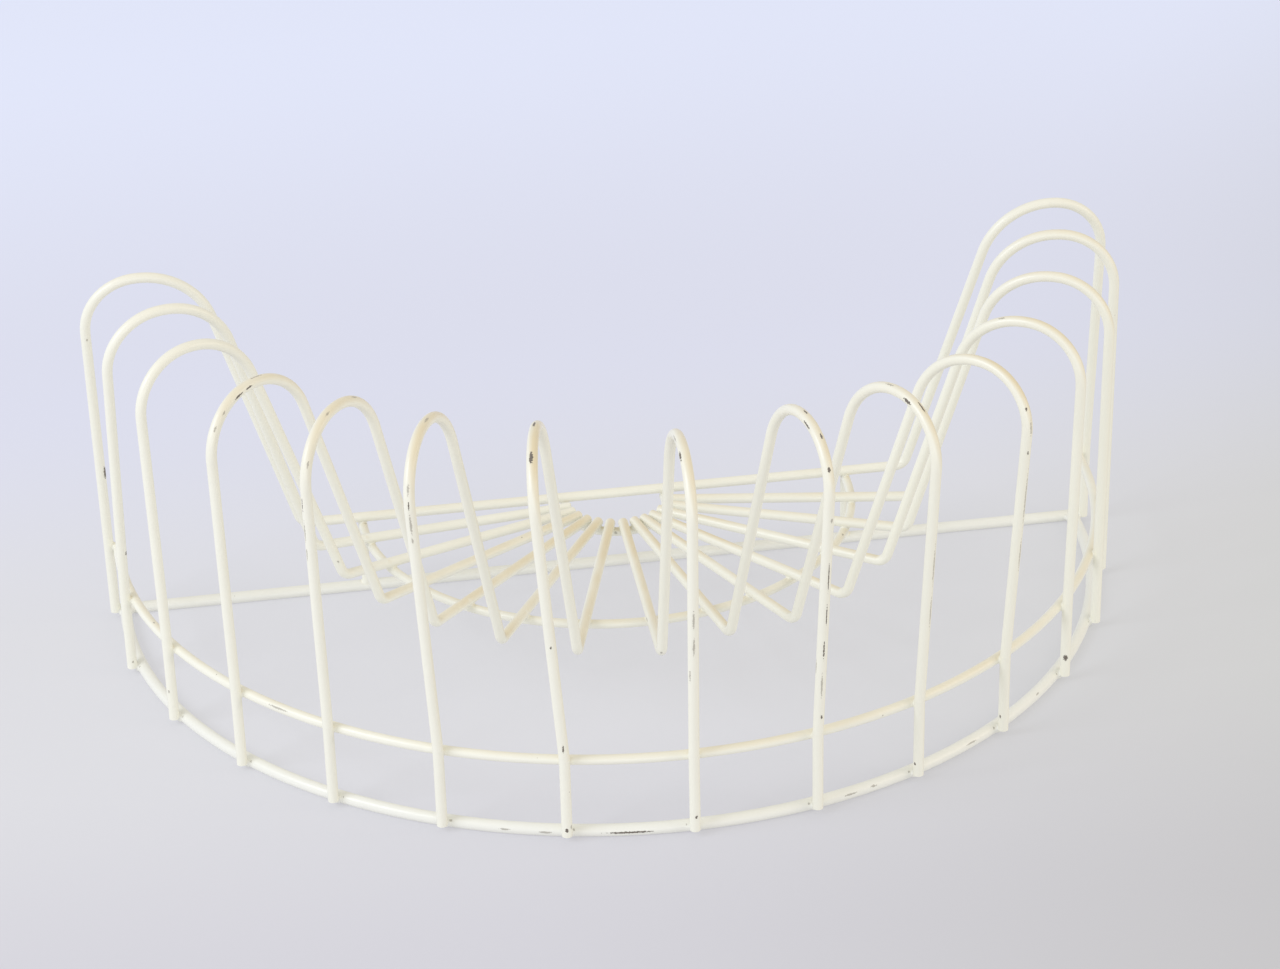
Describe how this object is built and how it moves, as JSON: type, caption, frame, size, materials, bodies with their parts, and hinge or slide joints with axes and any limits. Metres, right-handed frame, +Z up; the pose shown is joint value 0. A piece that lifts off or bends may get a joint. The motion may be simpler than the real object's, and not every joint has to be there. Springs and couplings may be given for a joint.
{
  "type": "plate stand",
  "caption": "Half-round wire plate stand: a fan of tall hoops on a D-shaped wire foot holds plates upright in the slots between them.",
  "frame": {"origin": "on the surface that the stand rests on, below the middle of its bounding box", "axes": "+X along the straight back, to the right seen from the curved front; +Y towards the straight back; +Z up"},
  "size_m": [0.4578, 0.2338, 0.1771],
  "materials": {
    "hoop_paint": "cream gloss enamel on steel wire, chipped in places",
    "floor_wire_paint": "cream gloss enamel on thicker steel wire, scraped underneath",
    "tie_wire_paint": "cream gloss enamel on thinner steel wire, with small weld spots"
  },
  "bodies": {
    "root": {"base_ring": "floor_wire_paint", "back_floor_bar": "floor_wire_paint", "upper_ring": "tie_wire_paint", "back_hoops": "hoop_paint", "hoop_02": "hoop_paint", "hoop_03": "hoop_paint", "hoop_04": "hoop_paint", "hoop_05": "hoop_paint", "hoop_06": "hoop_paint", "hoop_07": "hoop_paint", "hoop_08": "hoop_paint", "hoop_09": "hoop_paint", "hoop_10": "hoop_paint", "hoop_11": "hoop_paint", "hoop_12": "hoop_paint", "hoop_13": "hoop_paint", "hoop_14": "hoop_paint", "mid_ring": "tie_wire_paint", "hub_ring": "tie_wire_paint", "left_back_post": "tie_wire_paint", "right_back_post": "tie_wire_paint"}
  },
  "joints": []
}
